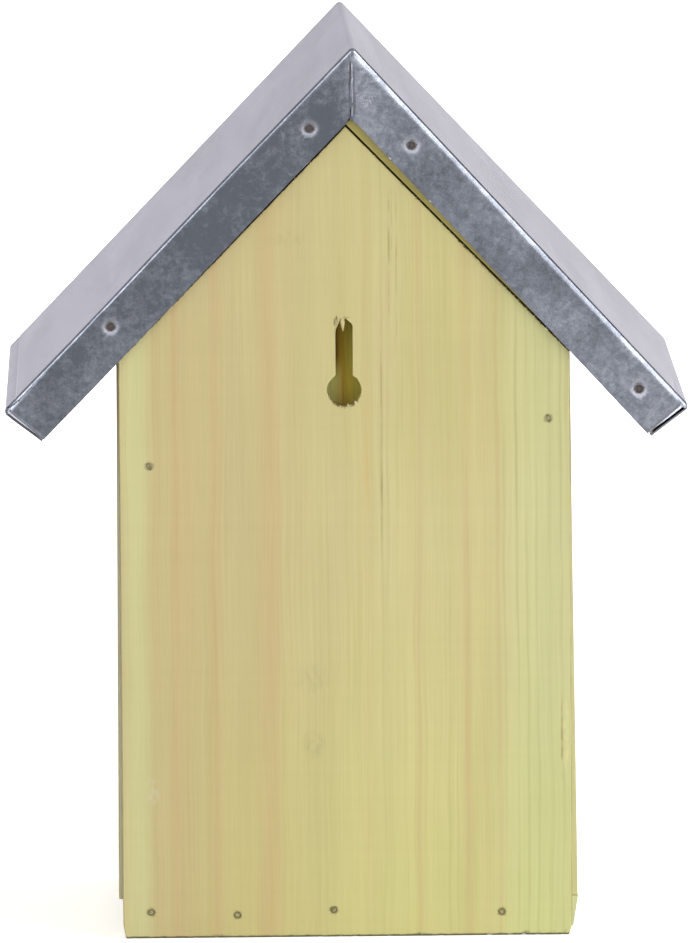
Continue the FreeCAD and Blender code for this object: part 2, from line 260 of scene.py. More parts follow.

# The routed pocket from the photo's left to its right, at the round entry and in the slot above it: fresh
# brown wood with painted shade on its walls and floor, and painted light on the entry's sides.
ENTRY_WOOD_PAINTED_LIGHT_AND_SHADE = [(-4.0, colour(214, 212, 142)), (-2.6, colour(212, 206, 126)), (-1.4, colour(204, 184, 104)),
               (-0.6, colour(198, 172, 88)), (-0.3, colour(158, 130, 52)), (0.1, colour(190, 168, 66)),
               (2.0, colour(198, 180, 74)), (4.0, colour(206, 198, 100))]
SLOT_WOOD_AND_PAINTED_SHADE = [(-2.0, colour(110, 86, 18)), (-1.7, colour(156, 126, 34)), (-1.3, colour(182, 152, 46)),
              (-0.2, colour(194, 164, 54)), (0.4, colour(190, 168, 60)), (2.0, colour(198, 184, 86))]


def wood(name, grain, across, face, surface, seed, shift=0.0, spots=(), marks=(), routed=False, tint=None,
         sawn=None, painted_foot_shade=False, shaded=None):
    """Softwood, cut along the grain direction, with its rings about a pith off the board.

    across is the direction over the face in which the streak lists are read, face the outward
    normal, and surface the face's distance along it. spots are brad places, marks are
    (across, along, half width, half height, colour, strength), tint is laid over it all, sawn is a
    direction with the tint of the edges that face it, painted_foot_shade paints a dark line of shade
    along the board's foot, and shaded is a slope's normal with the distance below which a line of
    painted shadow lies along the gable's edge.
    """
    pith_off, pith_deep = -78.0, 26.0
    g = Graph(name)
    point = g.place()
    up = g.along(point, grain)
    side = g.plus(g.along(point, across), shift)
    depth = g.minus(surface, g.along(point, face))

    # Rings cut the face at the listed places and curve through the board's thickness.
    lean = g.noise(g.vector(g.times(side, 0.03), g.times(up, 0.006), seed), detail=2.0)
    wander = g.swing(lean, 3.2)
    waver = g.noise(g.vector(g.times(side, 0.12), g.times(up, 0.035), seed + 2.0), detail=3.0)
    wander = g.plus(wander, g.swing(waver, 1.5))
    away = g.minus(side, pith_off)
    drop = g.minus(pith_deep, depth)
    square = g.plus(g.times(away, away), g.times(drop, drop))
    ring = g.calc("SQRT", g.most(g.minus(square, pith_deep ** 2), 0.0))
    ring = g.plus(g.plus(ring, pith_off), wander)

    def grainy(across_scale, along_scale, detail=2.0, offset=0.0):
        across, along = g.times(ring, across_scale), g.times(up, along_scale)
        deep = g.calc("MULTIPLY_ADD", depth, across_scale * 0.3, seed + offset)
        return g.noise(g.vector(across, along, deep), detail=detail)

    low, high = -56.0, 56.0
    place = g.calc("DIVIDE", g.minus(ring, low), high - low)

    # Ground colour: olive on one side, straw in the middle, greenish at the other, yellower below.
    ground = g.mix(g.spread(ring, -30.0, 15.0), OLIVE, STRAW)
    ground = g.mix(g.times(g.spread(ring, 30.0, 44.0), g.spread(ring, 52.5, 50.0)), ground, GREENISH)
    ground = g.mix(g.times(g.hump(ring, -48.2, 5.4), 0.85), ground, GREENISH)
    broad = grainy(0.09, 0.008, 3.0)
    low_share = g.times(g.spread(up, 95.0, 5.0), g.spread(ring, -46.0, -20.0))
    ground = g.mix(low_share, ground, g.tinted(ground, LOW_YELLOW))
    patchy = g.spread(broad, 0.3, 0.7, 0.975, 1.025)
    ground = g.tinted(ground, g.vector(1.0, 1.0, patchy))
    cloudy = g.spread(grainy(0.16, 0.014, 3.0, 7.0), 0.3, 0.7, 0.975, 1.025)
    ground = g.scaled(ground, cloudy)

    # Pink streaks fade in and out along the grain.
    fade = g.spread(grainy(0.35, 0.02, 3.0, 3.0), 0.3, 0.62, 0.5, 1.0)
    streak = g.times(g.ramp(place, profile(PINK_STREAKS, low, high)), fade)
    streak = g.times(streak, g.spread(grainy(1.4, 0.01, 2.0, 5.0), 0.25, 0.65, 0.7, 1.0))
    tone = g.mix(g.times(streak, 0.8), ground, PINK)

    # Late-wood lines, then the fine fibre between them.
    lines = g.ramp(place, profile(LATE_WOOD, low, high))
    lines = g.times(lines, g.spread(grainy(0.6, 0.03, 2.0, 11.0), 0.3, 0.65, 0.15, 1.0))
    tone = g.mix(g.times(lines, 0.52), tone, LATE)
    fibre = grainy(1.5, 0.012, 3.0, 13.0)
    fine = grainy(4.5, 0.05, 2.0, 17.0)
    plain = g.spread(grainy(0.13, 0.012, 2.0, 37.0), 0.35, 0.65, 0.25, 1.15)
    shade = g.calc("MULTIPLY_ADD", g.spread(fibre, 0.25, 0.75, -0.032, 0.022), plain, 0.985)
    shade = g.plus(shade, g.spread(fine, 0.25, 0.75, -0.018, 0.018))
    upper = g.times(g.spread(up, 95.0, 125.0), g.spread(ring, -20.0, 0.0))
    shade = g.minus(shade, g.times(upper, 0.045))
    tone = g.tinted(tone, g.vector(shade, shade, g.times(shade, shade)))

    # Faint saw marks across the grain, and short darker pores.
    saw = g.noise(g.vector(g.times(side, 0.02), g.times(up, 0.55), seed + 23.0), detail=3.0)
    tone = g.scaled(tone, g.spread(saw, 0.3, 0.7, 0.994, 1.006))
    pores = g.spread(grainy(3.0, 0.12, 4.0, 29.0), 0.66, 0.8)
    tone = g.mix(g.times(pores, 0.22), tone, LATE)

    height = g.plus(g.times(fibre, 0.5), g.times(fine, 0.35))
    height = g.minus(height, g.times(lines, 0.55))
    height = g.plus(height, g.times(saw, 0.05))

    for mark_side, mark_up, half_width, half_height, shade, strength in marks:
        wide = g.calc("DIVIDE", g.minus(side, mark_side), half_width)
        tall = g.calc("DIVIDE", g.minus(up, mark_up), half_height)
        out = g.plus(g.times(wide, wide), g.times(tall, tall))
        along = g.times(up, min(0.5, 4.0 / half_height))
        broken = g.noise(g.vector(g.times(side, 0.9), along, mark_side), detail=4.0)
        mask = g.times(g.spread(out, 0.0, 1.0, 1.0, 0.0), g.spread(broken, 0.3, 0.75))
        tone = g.mix(g.times(mask, strength), tone, shade)

    # Crushed, stained wood round each brad.
    if spots:
        nearest = g.nearest(point, spots)
        ragged = g.plus(nearest, g.times(g.noise(point, scale=1.3, detail=2.0), 0.8))
        tone = g.mix(g.spread(ragged, 1.15, 1.75, 0.5, 0.0), tone, STAIN_AND_EDGE_SHADE)

    # The routed pocket is fresh brown wood with painted shade and painted lit walls, and the sawn ends are
    # darker and rougher.
    if routed:
        entry = g.ramp(g.spread(side, -4.0, 4.0), [((at + 4) / 8, shade) for at, shade in ENTRY_WOOD_PAINTED_LIGHT_AND_SHADE])
        slot = g.ramp(g.spread(side, -2.0, 2.0), [((at + 2) / 4, shade) for at, shade in SLOT_WOOD_AND_PAINTED_SHADE])
        pocket = g.mix(g.spread(g.plus(up, g.times(side, 0.4)), 127.5, 134.5), entry, slot)
        pocket = g.scaled(pocket, g.spread(grainy(2.2, 0.08, 3.0, 31.0), 0.3, 0.7, 0.88, 1.1))
        tone = g.mix(g.spread(depth, 2.6, 5.0), tone, pocket)
    if tint:
        tone = g.tinted(tone, tint)
    if sawn:
        direction, shade = sawn
        tone = g.mix(g.spread(g.facing(direction), 0.6, 0.9), tone, g.tinted(tone, shade))
    ends = g.spread(g.facing(grain), 0.55, 0.8)
    rings = g.spread(g.noise(g.vector(g.times(ring, 0.9), 0.0, seed), detail=2.0), 0.3, 0.7, 0.8, 1.1)
    tone = g.mix(g.times(ends, 0.8), tone, g.scaled(END_GRAIN, rings))

    # A ragged line of painted shade darkens the board's foot where it stands on the ground.
    if painted_foot_shade:
        ragged = g.swing(g.noise(g.vector(side, 0.0, seed), scale=0.5, detail=3.0), 0.5)
        foot_shadow = g.spread(g.plus(up, ragged), 0.26, 0.60, 0.9, 0.0)
        tone = g.mix(foot_shadow, tone, colour(84, 80, 42))

    # A ragged line of painted shadow lies along the sawn gable, under the sheet's flange.
    if shaded:
        normal, distance = shaded
        under = g.minus(distance, g.along(point, normal))
        ragged = g.swing(g.noise(point, scale=0.9, detail=4.0), 1.3)
        near = g.spread(g.plus(under, ragged), 0.25, 0.62, 0.85, 0.0)
        tone = g.mix(g.times(near, g.spread(g.along(point, X), 0.0, 1.0)), tone, colour(66, 60, 26))

    # Painted shade darkens the rounded edges where they turn from the face.
    worn = g.hump(g.facing(face), 0.62, 0.38)
    tone = g.mix(g.times(worn, 0.75), tone, STAIN_AND_EDGE_SHADE)

    g.put(tone, g.shader.inputs["Base Color"])
    g.put(g.spread(fibre, 0.2, 0.8, 0.82, 0.68), g.shader.inputs["Roughness"])
    g.shader.inputs["Specular IOR Level"].default_value = 0.25
    g.bump(height, 0.5, 0.00016)
    return g.material


# Metal

ZINC_DARK = colour(74, 77, 84)
ZINC_MIDDLE = colour(100, 103, 111)
ZINC_LIGHT = colour(130, 133, 141)
# Pale zinc for the bloom in the streaks, also used for painted highlights.
ZINC_BLOOM_AND_PAINTED_HIGHLIGHT = colour(190, 190, 198)
SLOPE_PAINTED_REFLECTION_LEFT = colour(150, 149, 160)
SLOPE_PAINTED_REFLECTION_RIGHT = colour(162, 161, 169)
EDGE_TINT = (0.80, 0.785, 0.85, 1.0)


def zinc(name, dents, seam, eaves):
    """Zinc-coated sheet: cloudy spangle and faint streaks, with a painted highlight round each dent,
    painted highlights and shade at the seam and eaves, and a painted reflection on the slopes.

    seam is the X of the ridge seam, and eaves gives for each side the direction that squares off its
    eave flange, with the distance of the flange's outer face along it.
    """
    g = Graph(name)
    point = g.place()
    x, y, z = (g.along(point, axis) for axis in (X, Y, Z))
    cloud = g.noise(point, scale=0.09, detail=4.0, roughness=0.6)
    mottle = g.noise(point, scale=0.9, detail=4.0, roughness=0.7)
    spangle = g.cells(point, scale=1.1)

    # Painted reflection: the half towards -X is painted brighter, and both get brighter towards the eaves.
    bright = g.spread(x, 4.0, -6.0)
    level = g.calc("MULTIPLY_ADD", bright, 0.42, 0.01)
    dim = g.times(g.hump(z, 165.0, 28.0), g.times(bright, 0.09))
    level = g.plus(level, g.minus(g.spread(z, 160.0, 116.0, 0.0, 0.26), dim))
    level = g.plus(level, g.spread(cloud, 0.32, 0.68, -0.17, 0.17))
    level = g.plus(level, g.spread(mottle, 0.3, 0.7, -0.10, 0.10))
    patches = g.noise(point, scale=0.32, detail=3.0, roughness=0.6, distortion=0.6)
    level = g.plus(level, g.spread(patches, 0.34, 0.66, -0.11, 0.11))
    beside = g.minus(seam, x)
    # Painted highlight: the -X flange is brighter beside the seam.
    level = g.plus(level, g.times(g.spread(beside, 8.5, 0.5), g.spread(beside, 0.0, 0.4, 0.0, 0.30)))
    level = g.plus(level, g.swing(spangle, 0.16))
    level = g.plus(level, g.spread(g.noise(point, scale=3.4, detail=2.0), 0.35, 0.65, -0.09, 0.09))
    tone = g.ramp(level, [(0.0, ZINC_DARK), (0.5, ZINC_MIDDLE), (1.0, ZINC_LIGHT)])

    # The slopes are painted with a paler reflection, smoother, with hardly any streaks, paler still towards
    # -X.
    facing_end = g.facing(Y)
    top = g.spread(facing_end, 0.5, 0.1)
    slope_painted_reflection = g.mix(g.spread(g.facing_side(), -0.3, 0.3), SLOPE_PAINTED_REFLECTION_LEFT, SLOPE_PAINTED_REFLECTION_RIGHT)
    spot = g.vector(g.plus(x, z), g.times(y, 0.25), g.minus(x, z))
    patch = g.noise(spot, scale=0.06, detail=3.0)
    slope_painted_reflection = g.scaled(slope_painted_reflection, g.spread(patch, 0.3, 0.7, 0.86, 1.14))
    tone = g.mix(g.times(top, 0.85), tone, slope_painted_reflection)
    streaks = g.noise(g.vector(g.times(x, 0.02), g.times(y, 0.05), z), scale=0.35)
    tone = g.mix(g.times(top, g.spread(streaks, 0.45, 0.75, 0.0, 0.12)), tone, ZINC_BLOOM_AND_PAINTED_HIGHLIGHT)

    # A rubbed, speckled patch beside the ridge on the half towards -X.
    rubbed = g.add("ShaderNodeVectorMath", operation="DISTANCE")
    g.put(g.vector(x, roof_high.y, z), rubbed.inputs[0])
    rubbed.inputs[1].default_value = (-5.7, roof_high.y, 194.2)
    grit = g.noise(point, scale=2.6, detail=4.0, roughness=0.75)
    rub = g.times(g.spread(rubbed.outputs["Value"], 0.6, 3.0, 1.0, 0.0), g.spread(grit, 0.5, 0.62))
    tone = g.mix(g.times(rub, 0.45), tone, ZINC_BLOOM_AND_PAINTED_HIGHLIGHT)

    nearest = g.nearest(point, dents)
    # A painted highlight rings each dent.
    dent_highlight = g.spread(nearest, 0.9, 3.0, 1.0, 0.0)
    ring = g.times(g.hump(nearest, 0.95, 0.36), g.spread(mottle, 0.35, 0.6, 0.25, 1.0))
    dent_highlight = g.most(g.times(g.times(dent_highlight, dent_highlight), 0.38), g.times(ring, 0.7))
    tone = g.mix(dent_highlight, tone, ZINC_BLOOM_AND_PAINTED_HIGHLIGHT)

    # Painted highlights on the seam's lips and on the sheet's edge at each eave, with painted shade beside
    # them.
    flat = g.spread(facing_end, 0.9, 0.97)
    painted_shade_lines = 0.0
    highlight_lines = [(-0.88, 0.20, 195.0, 203.0, 0.8), (-0.12, 0.24, 190.4, 203.2, 1.0)]
    shadow_lines = [(-0.50, 0.27, 189.0, 204.0, 1.0), (0.36, 0.30, 190.5, 202.0, 0.6),
                   (0.55, 0.30, 190.5, 197.0, 0.55)]
    for lines, light in ((highlight_lines, True), (shadow_lines, False)):
        for place, half_width, low, high, strength in lines:
            mask = g.times(g.hump(beside, place, half_width), g.spread(z, low, low + 1.0))
            mask = g.times(g.times(mask, g.spread(z, high, high - 1.5)), flat)
            if light:
                tone = g.mix(g.times(mask, strength), tone, ZINC_BLOOM_AND_PAINTED_HIGHLIGHT)
            else:
                painted_shade_lines = g.most(painted_shade_lines, g.times(mask, strength))
    # At each eave the cut edge is painted pale as a reflection, a painted highlight line runs along it, and a
    # broken line of painted shade marks the gap.
    for side, (square, reach) in eaves.items():
        gap = g.minus(reach, g.along(point, square))
        here = g.times(g.spread(g.times(x, side), 40.0, 41.0), flat)
        here_edge = g.times(here, g.spread(gap, 0.62, 0.52))
        if side > 0:
            lit, middle, reach_out = 0.08, 0.95, 0.4
            shade_gap, half_width, strength = 1.30, 0.16, 0.3
            tone = g.mix(g.times(here_edge, 0.7), tone, ZINC_BLOOM_AND_PAINTED_HIGHLIGHT)
        else:
            lit, middle, reach_out = 0.6, 1.50, 0.42
            shade_gap, half_width, strength = 1.98, 0.18, 0.6
            tone = g.mix(g.times(here_edge, 0.6), tone, (0.95, 0.95, 0.97, 1.0))
        shine = g.times(g.hump(gap, middle, reach_out), here)
        tone = g.mix(g.times(shine, lit), tone, ZINC_BLOOM_AND_PAINTED_HIGHLIGHT)
        line = g.times(g.hump(gap, shade_gap, half_width), here)
        broken = g.spread(patches, 0.35, 0.6, 0.4, 1.0)
        painted_shade_lines = g.most(painted_shade_lines, g.times(g.times(line, broken), strength))

    g.put(tone, g.shader.inputs["Base Color"])
    g.shader.inputs["Metallic"].default_value = 1.0
    g.shader.inputs["Specular Tint"].default_value = EDGE_TINT
    rough = g.spread(mottle, 0.3, 0.7, 0.34, 0.46)
    rough = g.calc("MULTIPLY_ADD", g.hump(nearest, 1.4, 1.1), 0.3, rough)
    rough = g.plus(g.times(rough, g.minus(1.0, top)), g.times(top, 0.27))
    g.put(rough, g.shader.inputs["Roughness"])
    g.bump(g.plus(mottle, g.times(cloud, 2.0)), 0.35, 0.00012)

    # Painted shade along the fold at each flange, ragged and dull, joined by the painted shade lines of the
    # seam and eaves.
    crease = g.hump(g.plus(g.calc("ABSOLUTE", y), g.swing(mottle, 0.5)), roof_high.y - 1.3, 1.0)
    crease = g.times(crease, g.spread(facing_end, 0.78, 0.60))
    crease = g.most(crease, painted_shade_lines)
    crease_shade = g.add("ShaderNodeBsdfDiffuse")
    crease_shade.inputs["Color"].default_value = colour(62, 62, 70)
    both = g.add("ShaderNodeMixShader")
    g.put(g.times(crease, 0.9), both.inputs[0])
    g.links.new(g.shader.outputs[0], both.inputs[1])
    g.links.new(crease_shade.outputs[0], both.inputs[2])
    g.links.new(both.outputs[0], g.nodes["Material Output"].inputs["Surface"])
    return g.material


def brad(name, heads, centre, rim, rubbed):
    """Dull steel: flecked with the centre colour, dark towards the rim and rubbed at the very edge."""
    g = Graph(name)
    point = g.place()
    spots = g.noise(point, scale=1.6, detail=4.0, roughness=0.7)
    tone = g.mix(g.spread(spots, 0.35, 0.6), rim, centre)
    ragged = g.plus(g.nearest(point, heads), g.swing(spots, 1.6))
    tone = g.mix(g.spread(ragged, 0.3, 0.7, 0.0, 0.9), tone, rim)
    tone = g.mix(g.spread(ragged, 0.78, 0.95), tone, rubbed)
    g.put(tone, g.shader.inputs["Base Color"])
    g.shader.inputs["Metallic"].default_value = 0.3
    g.put(g.spread(spots, 0.3, 0.7, 0.75, 0.5), g.shader.inputs["Roughness"])
    g.bump(spots, 0.6, 0.0001)
    return g.material


# Meshes

def islands(node):
    """The separate pieces of a CAD node's mesh, each as a list of points in millimetres."""
    bm = bmesh.new()
    bm.from_mesh(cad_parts[node].data)
    bmesh.ops.remove_doubles(bm, verts=bm.verts, dist=1e-6)
    left, found = set(bm.verts), []
    while left:
        start = left.pop()
        stack, piece = [start], [start]
        while stack:
            for edge in stack.pop().link_edges:
                for vert in edge.verts:
                    if vert in left:
                        left.remove(vert)
                        stack.append(vert)
                        piece.append(vert)
        found.append([vert.co / MM for vert in piece])
    bm.free()
    return found


def brad_heads(node, outward):
    """The middle of each brad's head, sorted so that the order is the same each run."""
    heads = []
    for points in islands(node):
        top = max(point.dot(outward) for point in points)
        rim = [point for point in points if point.dot(outward) > top - 0.15]
        heads.append(sum(rim, Vector()) / len(rim))
    return sorted(heads, key=lambda head: (round(head.z, 2), round(head.x, 2)))


def outer_planes(bm):
    """Each plane that the whole mesh lies behind: its normal and its distance."""
    planes = []
    for face in bm.faces:
        if face.calc_area() < 2e-6:
            continue
        normal = face.normal.copy()
        distance = face.verts[0].co.dot(normal)
        if any(known.dot(normal) > 0.9999 for known, _ in planes):
            continue
        if max(vert.co.dot(normal) for vert in bm.verts) < distance + 2e-6:
            planes.append((normal, distance))
    return planes


def slice_mesh(bm, normal, distances, inside=None):
    """Cuts the faces, or only those that inside() picks, along planes square to a direction."""
    for distance in distances:
        if inside:
            faces = [face for face in bm.faces if inside(face.calc_center_median())]
            edges = {edge for face in faces for edge in face.edges}
            verts = {vert for face in faces for vert in face.verts}
            order = [sorted(found, key=lambda item: item.index) for found in (verts, edges)]
            geometry = order[0] + order[1] + faces
        else:
            geometry = bm.verts[:] + bm.edges[:] + bm.faces[:]
        bmesh.ops.bisect_plane(bm, geom=geometry, dist=1e-7, plane_co=normal * distance, plane_no=normal)


def wobble(x, y, z):
    """Smooth noise from -1 to 1 at a place."""
    return noise.noise(Vector((x, y, z)))


def steps(low, high, pitch):
    count = max(1, round((high - low) / pitch))
    return [low + (high - low) * number / count for number in range(1, count)]


def soften(bm, planes, radius, seed, crisp=0.4):
    """Rounds every outer edge and corner, by more or less along its length, and less at saw cuts."""
    for vert in bm.verts:
        spot = vert.co / MM
        wear = wobble(spot.x * 0.09, spot.y * 0.09, spot.z * 0.05 + seed)
        nick = wobble(spot.x * 0.7, spot.y * 0.7, spot.z * 0.5 - seed)
        here = radius * MM * (1 + 0.55 * wear + 0.25 * nick)
        near = []
        for normal, distance in planes:
            depth = distance - vert.co.dot(normal)
            if depth < here:
                near.append((normal, here - depth))
        if len(near) < 2:
            continue
        if any(0.2 < abs(normal.z) < 0.9 for normal, _ in near):
            here *= crisp
            near = [(normal, part - here * (1 / crisp - 1)) for normal, part in near]
            near = [(normal, part) for normal, part in near if part > 0]
            if len(near) < 2:
                continue
        reach = math.sqrt(sum(part * part for _, part in near))
        if reach > here:
            for normal, part in near:
                vert.co -= normal * (part * (1 - here / reach))


def finish_mesh(bm, name, node, material, smooth=35):
    """Makes the mesh an object that stands for the CAD node."""
    mesh = bpy.data.meshes.new(name)
    bm.to_mesh(mesh)
    bm.free()
    mesh.materials.append(material)
    mesh.polygons.foreach_set("use_smooth", [True] * len(mesh.polygons))
    mesh.set_sharp_from_angle(angle=math.radians(smooth))
    piece = bpy.data.objects.new(name, mesh)
    bpy.context.scene.collection.objects.link(piece)
    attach(piece, "root")
    if node:
        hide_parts(node)
    return piece


def merged(node):
    bm = bmesh.new()
    bm.from_mesh(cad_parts[node].data)
    bmesh.ops.remove_doubles(bm, verts=bm.verts, dist=1e-6)
    bmesh.ops.dissolve_degenerate(bm, dist=1e-7, edges=bm.edges)
    return bm


def dress_board(node, grain, material, pitch_along, pitch_across, radius=0.45, seed=0.0, shape=None):
    """A board with rounded, worn edges and a face that is not quite flat."""
    bm = merged(node)
    planes = outer_planes(bm)
    for normal, distance in planes:
        slice_mesh(bm, normal, [distance - radius * MM * share for share in (0.25, 0.6, 1.0, 1.6)])
    normals = [normal for normal, _ in planes]
    thin = min(normals, key=lambda n: max(v.co.dot(n) for v in bm.verts) - min(v.co.dot(n) for v in bm.verts))
    across = grain.cross(thin)
    for direction, pitch in ((across, pitch_across), (grain, pitch_along)):
        reach = [vert.co.dot(direction) for vert in bm.verts]
        slice_mesh(bm, direction, steps(min(reach), max(reach), pitch * MM))
    soften(bm, planes, radius, seed)
    for vert in bm.verts:
        spot = vert.co / MM
        wave = wobble(spot.dot(across) * 0.12, spot.dot(grain) * 0.02, seed)
        ridge = wobble(spot.dot(across) * 0.9, spot.dot(grain) * 0.015, seed + 5)
        depth = 0.05 * (wave + 1) + 0.02 * (ridge + 1)
        for normal, distance in planes:
            if abs(normal.dot(thin)) > 0.9 and distance - vert.co.dot(normal) < 0.2 * MM:
                vert.co -= normal * depth * MM
    if shape:
        shape(bm)
    bmesh.ops.recalc_face_normals(bm, faces=bm.faces)
    return finish_mesh(bm, node + "_wood", node, material)


# The boards

SAWN_LEFT = (0.99, 0.97, 1.36, 1.0)
SAWN_RIGHT = (0.86, 0.95, 1.6, 1.0)
SAWN_FLOOR = (1.03, 1.06, 1.62, 1.0)
# Painted shade: the roof boards are tinted darker all over, for their edges that show under the sheet's
# flanges.
PAINTED_SHADE_UNDER_SHEET = (0.70, 0.60, 0.40, 1.0)
# How far out the side boards' faces are, and how deep the sheet's flanges are, in millimetres.
RIGHT_SIDE_FACE, LEFT_SIDE_FACE = 52.9, 53.6
FLANGE_DEPTH = 11.2
back_brads = brad_heads("back_board_nails", Y)
front_brads = brad_heads("front_board_nails", -Y)
floor_brads = brad_heads("floor_board_nails", -Z)
sheet_brads = brad_heads("back_sheet_nails", Y) + brad_heads("front_sheet_nails", -Y)

KEYHOLE_ENTRY, KEYHOLE_RADIUS = 127.2, 4.0
KEYHOLE_TOP, SLOT_HALF_WIDTH = 142.0, 2.0
SMUDGE = colour(150, 145, 100)
BROWN = colour(150, 134, 84)
FOOT_SHADE = colour(70, 70, 34)
BACK_MARKS = [
    (-8.1, 60.3, 5.0, 4.6, SMUDGE, 0.22),
    (-7.6, 45.0, 3.2, 4.0, SMUDGE, 0.30),
    (-12.4, 162.5, 6.5, 2.6, SMUDGE, 0.16),
    (-44.8, 34.5, 2.0, 4.5, colour(207, 203, 172), 0.6),
    (5.0, 112.0, 1.6, 22.0, colour(214, 172, 112), 0.35),
    (10.4, 160.0, 0.35, 22.0, BROWN, 0.6),
    (11.0, 166.0, 0.22, 13.0, BROWN, 0.6),
    (12.1, 158.0, 0.3, 24.0, BROWN, 0.45),
    (8.45, 113.0, 0.34, 43.0, BROWN, 0.75),
    (9.1, 112.0, 0.5, 38.0, colour(214, 206, 160), 0.5),
    (9.4, 138.0, 3.0, 26.0, colour(204, 176, 132), 0.35),
    (-2.15, 143.1, 0.35, 1.2, TORN, 1.0),
    (-1.7, 144.0, 0.35, 0.7, TORN, 1.0),
    (0.75, 143.95, 0.6, 0.4, TORN, 1.0),
    (50.6, 46.0, 1.0, 11.0, colour(228, 218, 160), 0.9),
    (49.7, 46.0, 0.35, 12.0, colour(160, 146, 84), 0.8),
    # Dark notches along the foot are painted shade in its chips.
    (41.2, 0.2, 1.3, 1.1, FOOT_SHADE, 1.0),
    (47.4, 0.2, 0.9, 1.3, FOOT_SHADE, 1.0),
    (50.8, 0.3, 0.9, 1.2, FOOT_SHADE, 1.0),
    (17.0, 0.2, 2.2, 0.8, FOOT_SHADE, 0.9),
    (-30.0, 0.2, 2.6, 0.8, FOOT_SHADE, 0.8),
]
FRONT_MARKS = [(14.0, 120.0, 5.0, 3.0, SMUDGE, 0.5), (-22.0, 40.0, 2.0, 3.0, SMUDGE, 0.5)]


def close_recesses(bm, heads, outward, surface):
    """The wood has closed over part of each sunk head, so its hole is small and uneven."""
    for number, head in enumerate(heads):
        upper = head.z > 20
        wide, tall = (0.55, 0.95) if upper else (0.88, 0.8)
        turn = Matrix.Rotation(math.radians(-28 if head.x > 0 else -20) if upper else 0, 3, outward)
        for vert in bm.verts:
            offset = vert.co / MM - head
            lift = vert.co.dot(outward) / MM - surface
            flat = offset - outward * offset.dot(outward)
            if flat.length < 1.06 and lift > -0.12:
                local = turn @ flat
                ragged = 1 + 0.14 * noise.noise(local * 2.5 + Vector((number * 3.1, 0, 0)))
                local = Vector((local.x * wide, 0, local.z * tall)) * ragged
                vert.co += (turn.transposed() @ local - flat) * MM


def wear_lower_corners(bm):
    """The back board's lower corners are knocked in a little, more at the photo's left."""
    for vert in bm.verts:
        x, z = vert.co.x / MM, vert.co.z / MM
        side = 1 if x > 0 else -1
        depth, height, amount = (0.9, 3.4, 0.65) if side > 0 else (0.9, 2.4, 0.8)
        near = HALF_WIDTH - abs(x)
        if near < depth + 0.7 and z < height:
            push = amount * (1 - z / height) ** 1.6 * (1 - near / (depth + 0.7))
            vert.co.x -= side * push * MM


def shape_back_board(bm):
    wear_lower_corners(bm)
    close_recesses(bm, back_brads, Y, BACK_FACE)
    rough_keyhole(bm)
    chip_lower_edge(bm)


def rough_keyhole(bm):
    """The router tore the keyhole's edge: a ragged foot and a nibbled round top."""
    for vert in bm.verts:
        x, y, z = vert.co / MM
        if y < BACK_FACE - 0.8:
            continue
        offset = Vector((x, 0, z - KEYHOLE_ENTRY))
        at_entry = abs(offset.length - KEYHOLE_RADIUS) < 0.15 and z < KEYHOLE_ENTRY + 3.0
        top = Vector((x, 0, z - KEYHOLE_TOP))
        at_top = z > KEYHOLE_TOP - 0.5 and abs(top.length - SLOT_HALF_WIDTH) < 0.15
        if at_entry:
            low = max(0.0, -offset.z / KEYHOLE_RADIUS)
            tear = 0.12 + 0.55 * low ** 3
            vert.co += offset.normalized() * tear * wobble(x * 2.6, 0.3, 4.2) * MM
        if at_top:
            vert.co += top.normalized() * 0.3 * wobble(x * 2.2, 0.6, 9.1) * MM


def chip_lower_edge(bm):
    """Small breaks along the lower edge, more towards the photo's right."""
    for vert in bm.verts:
        x, y, z = vert.co / MM
        if z > 0.6 or y < BACK_FACE - 1.2:
            continue
        share = 0.35 + 0.65 * max(0.0, min(1.0, (-x - 20) / 20))
        bite = max(0.0, wobble(x * 0.9, 2.0, 7.0) - 0.15)
        vert.co.z += 0.9 * share * bite * (1 - z / 0.6) * MM
        vert.co.y -= 0.5 * share * bite * MM


def knock_floor_corner(bm):
    """The floor board's lower end at -X is worn to a slant."""
    low_x = min(vert.co.x for vert in bm.verts) / MM
    for vert in bm.verts:
        x, z = vert.co.x / MM - low_x, vert.co.z / MM
        if x < 1.4 and z < 2.6:
            vert.co.x += 1.2 * (1 - z / 2.6) * (1 - x / 1.4) * MM
            vert.co.z += 0.25 * (1 - x / 1.4) * (1 - z / 2.6) * MM


right_slope = Vector((math.sin(ROOF_PITCH), 0, math.cos(ROOF_PITCH)))
flange_foot = max(vert.co.dot(right_slope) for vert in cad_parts["roof_sheet"].data.vertices) / MM
flange_foot -= FLANGE_DEPTH
dress_board("back_board", Z, wood("wood_back", Z, -X, Y, BACK_FACE, 1.7, spots=back_brads, marks=BACK_MARKS,
                                  routed=True, painted_foot_shade=True, shaded=(right_slope, flange_foot)),
            3.0, 0.8, radius=0.3, seed=1.0, shape=shape_back_board)
dress_board("front_board", Z, wood("wood_front", Z, -X, -Y, -FRONT_FACE, 5.3, shift=9.0, spots=front_brads,
                                   marks=FRONT_MARKS), 4.0, 1.2, seed=2.0,
            shape=lambda bm: close_recesses(bm, front_brads, -Y, -FRONT_FACE))
dress_board("right_side_board", Z, wood("wood_right_side", Z, -Y, X, RIGHT_SIDE_FACE, 9.1, shift=32.0,
                                        sawn=(Y, SAWN_RIGHT)), 4.0, 1.6, radius=0.3, seed=3.0)
dress_board("left_side_board", Z, wood("wood_left_side", Z, Y, -X, LEFT_SIDE_FACE, 13.9, shift=-6.0,
                                       sawn=(Y, SAWN_LEFT)), 4.0, 1.6, radius=0.14, seed=4.0)
dress_board("floor_board", X, wood("wood_floor", X, Y, -Z, 0.0, 17.3, spots=floor_brads,
                                 sawn=(Y, SAWN_FLOOR)),
            4.0, 1.6, radius=0.12, seed=5.0, shape=knock_floor_corner)


